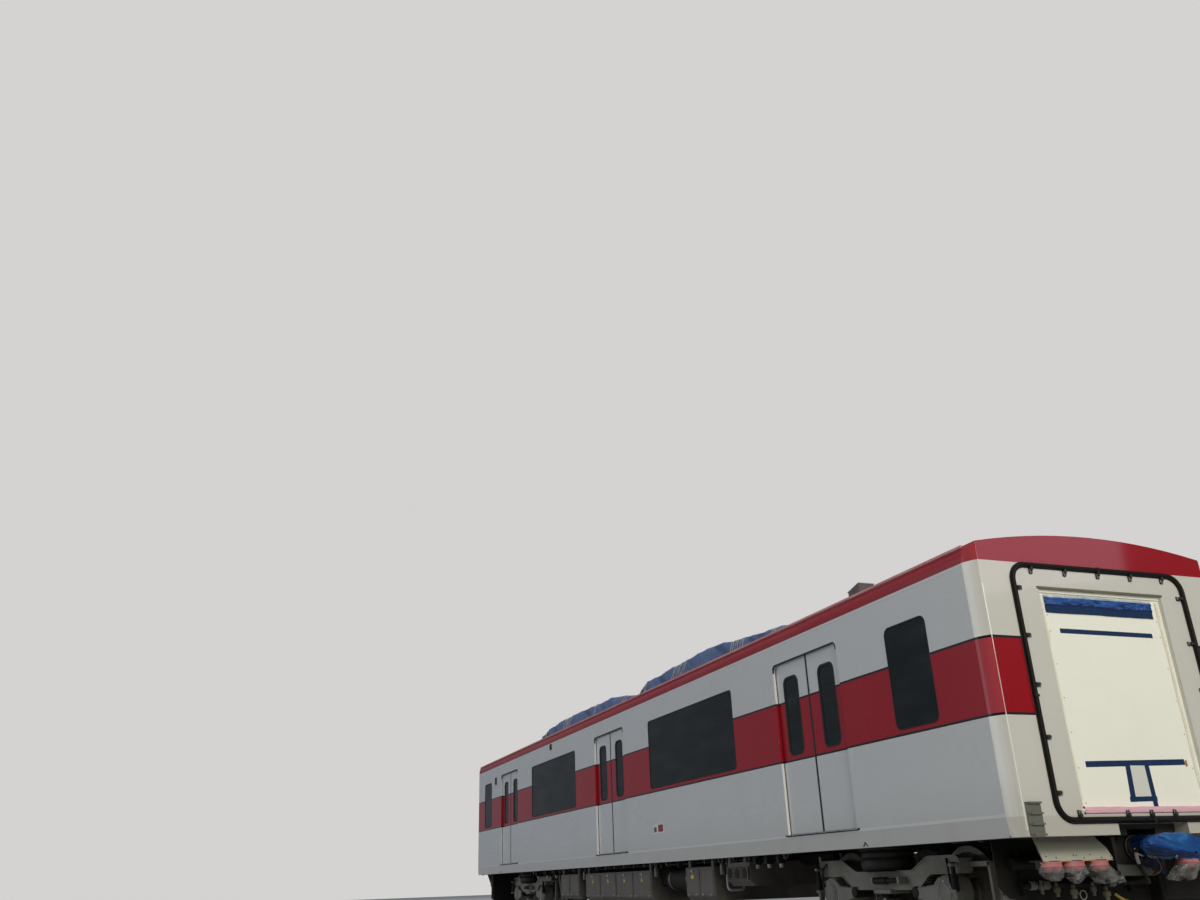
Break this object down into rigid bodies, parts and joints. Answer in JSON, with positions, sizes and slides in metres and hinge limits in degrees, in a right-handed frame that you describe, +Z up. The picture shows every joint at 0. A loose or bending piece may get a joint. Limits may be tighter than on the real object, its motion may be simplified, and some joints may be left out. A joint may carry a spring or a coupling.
{
  "type": "intermediate car of an electric multiple unit train",
  "caption": "Passenger car of an electric train on two powered bogies, with sliding doors, tinted windows, boarded gangways and covered roof equipment",
  "frame": {"origin": "bottom centre of the car: middle of its length and width, under the wheel flanges", "axes": "+X along the car to its front end, +Y to its left side, +Z up"},
  "size_m": [20, 2.86, 3.86],
  "materials": {
    "body_paint": "gloss white coach paint with a red waist band",
    "roof_red": "gloss red coach paint",
    "tinted_glass": "dark tinted glass",
    "seal_rubber": "black rubber, slightly dusty",
    "wheel_steel": "dull rolled steel",
    "frame_grey": "dark grey chassis paint",
    "equipment_grey": "mid grey satin paint",
    "tarpaulin": "blue woven plastic tarpaulin",
    "transit_board": "white faced transit board",
    "bench_moulding": "moulded blue seat shell"
  },
  "bodies": {
    "carbody": {"underframe": "frame_grey", "roof_shell": "roof_red", "side_wall_front_right": "body_paint", "side_wall_rear_right": "body_paint", "window_1_right": "tinted_glass", "window_2_right": "tinted_glass", "window_3_right": "tinted_glass", "window_4_right": "tinted_glass", "bench_front_right": "bench_moulding", "bench_rear_right": "bench_moulding", "side_wall_front_left": "body_paint", "side_wall_rear_left": "body_paint", "window_1_left": "tinted_glass", "window_2_left": "tinted_glass", "window_3_left": "tinted_glass", "window_4_left": "tinted_glass", "bench_front_left": "bench_moulding", "bench_rear_left": "bench_moulding", "end_wall_front": "body_paint", "gangway_seal_front": "seal_rubber", "gangway_board_front": "transit_board", "coupler_front": "wheel_steel", "coupler_cover_front": "tarpaulin", "roof_unit_front": "equipment_grey", "roof_cover_front": "tarpaulin", "end_wall_rear": "body_paint", "gangway_seal_rear": "seal_rubber", "gangway_board_rear": "transit_board", "coupler_rear": "wheel_steel", "coupler_cover_rear": "tarpaulin", "roof_unit_rear": "equipment_grey", "roof_cover_rear": "tarpaulin", "roof_box": "equipment_grey", "battery_case": "equipment_grey", "converter_case": "equipment_grey", "brake_case": "equipment_grey", "compressor_case": "equipment_grey", "air_tanks": "equipment_grey"},
    "door_1_right_fore": {"door_1_right_fore": "body_paint"},
    "door_1_right_aft": {"door_1_right_aft": "body_paint"},
    "door_2_right_fore": {"door_2_right_fore": "body_paint"},
    "door_2_right_aft": {"door_2_right_aft": "body_paint"},
    "door_3_right_fore": {"door_3_right_fore": "body_paint"},
    "door_3_right_aft": {"door_3_right_aft": "body_paint"},
    "door_1_left_fore": {"door_1_left_fore": "body_paint"},
    "door_1_left_aft": {"door_1_left_aft": "body_paint"},
    "door_2_left_fore": {"door_2_left_fore": "body_paint"},
    "door_2_left_aft": {"door_2_left_aft": "body_paint"},
    "door_3_left_fore": {"door_3_left_fore": "body_paint"},
    "door_3_left_aft": {"door_3_left_aft": "body_paint"},
    "bogie_front": {"bogie_frame_front": "frame_grey", "air_spring_front_right": "seal_rubber", "air_spring_front_left": "seal_rubber"},
    "wheelset_front_fore": {"wheelset_front_fore": "wheel_steel"},
    "wheelset_front_aft": {"wheelset_front_aft": "wheel_steel"},
    "bogie_rear": {"bogie_frame_rear": "frame_grey", "air_spring_rear_right": "seal_rubber", "air_spring_rear_left": "seal_rubber"},
    "wheelset_rear_fore": {"wheelset_rear_fore": "wheel_steel"},
    "wheelset_rear_aft": {"wheelset_rear_aft": "wheel_steel"}
  },
  "joints": [
    {"name": "door_1_right_fore_slide", "type": "slide", "parent": "carbody", "child": "door_1_right_fore", "axis": [1, 0, 0], "range_m": [0, 0.68]},
    {"name": "door_1_right_aft_slide", "type": "slide", "parent": "carbody", "child": "door_1_right_aft", "axis": [-1, 0, 0], "range_m": [0, 0.68]},
    {"name": "door_2_right_fore_slide", "type": "slide", "parent": "carbody", "child": "door_2_right_fore", "axis": [1, 0, 0], "range_m": [0, 0.68]},
    {"name": "door_2_right_aft_slide", "type": "slide", "parent": "carbody", "child": "door_2_right_aft", "axis": [-1, 0, 0], "range_m": [0, 0.68]},
    {"name": "door_3_right_fore_slide", "type": "slide", "parent": "carbody", "child": "door_3_right_fore", "axis": [1, 0, 0], "range_m": [0, 0.68]},
    {"name": "door_3_right_aft_slide", "type": "slide", "parent": "carbody", "child": "door_3_right_aft", "axis": [-1, 0, 0], "range_m": [0, 0.68]},
    {"name": "door_1_left_fore_slide", "type": "slide", "parent": "carbody", "child": "door_1_left_fore", "axis": [1, 0, 0], "range_m": [0, 0.68]},
    {"name": "door_1_left_aft_slide", "type": "slide", "parent": "carbody", "child": "door_1_left_aft", "axis": [-1, 0, 0], "range_m": [0, 0.68]},
    {"name": "door_2_left_fore_slide", "type": "slide", "parent": "carbody", "child": "door_2_left_fore", "axis": [1, 0, 0], "range_m": [0, 0.68]},
    {"name": "door_2_left_aft_slide", "type": "slide", "parent": "carbody", "child": "door_2_left_aft", "axis": [-1, 0, 0], "range_m": [0, 0.68]},
    {"name": "door_3_left_fore_slide", "type": "slide", "parent": "carbody", "child": "door_3_left_fore", "axis": [1, 0, 0], "range_m": [0, 0.68]},
    {"name": "door_3_left_aft_slide", "type": "slide", "parent": "carbody", "child": "door_3_left_aft", "axis": [-1, 0, 0], "range_m": [0, 0.68]},
    {"name": "bogie_front_yaw", "type": "hinge", "parent": "carbody", "child": "bogie_front", "pos_m": [6.9, 0, 0.7], "axis": [0, 0, 1], "range_deg": [-5, 5]},
    {"name": "wheelset_front_fore_spin", "type": "hinge", "parent": "bogie_front", "child": "wheelset_front_fore", "pos_m": [7.95, 0, 0.458], "axis": [0, 1, 0], "continuous": true},
    {"name": "wheelset_front_aft_spin", "type": "hinge", "parent": "bogie_front", "child": "wheelset_front_aft", "pos_m": [5.85, 0, 0.458], "axis": [0, 1, 0], "continuous": true},
    {"name": "bogie_rear_yaw", "type": "hinge", "parent": "carbody", "child": "bogie_rear", "pos_m": [-6.9, 0, 0.7], "axis": [0, 0, 1], "range_deg": [-5, 5]},
    {"name": "wheelset_rear_fore_spin", "type": "hinge", "parent": "bogie_rear", "child": "wheelset_rear_fore", "pos_m": [-5.85, 0, 0.458], "axis": [0, 1, 0], "continuous": true},
    {"name": "wheelset_rear_aft_spin", "type": "hinge", "parent": "bogie_rear", "child": "wheelset_rear_aft", "pos_m": [-7.95, 0, 0.458], "axis": [0, 1, 0], "continuous": true}
  ],
  "couplings": [
    {"joint": "door_1_right_aft_slide", "follows": "door_1_right_fore_slide", "ratio": 1},
    {"joint": "door_2_right_aft_slide", "follows": "door_2_right_fore_slide", "ratio": 1},
    {"joint": "door_3_right_aft_slide", "follows": "door_3_right_fore_slide", "ratio": 1},
    {"joint": "door_1_left_aft_slide", "follows": "door_1_left_fore_slide", "ratio": 1},
    {"joint": "door_2_left_aft_slide", "follows": "door_2_left_fore_slide", "ratio": 1},
    {"joint": "door_3_left_aft_slide", "follows": "door_3_left_fore_slide", "ratio": 1}
  ]
}
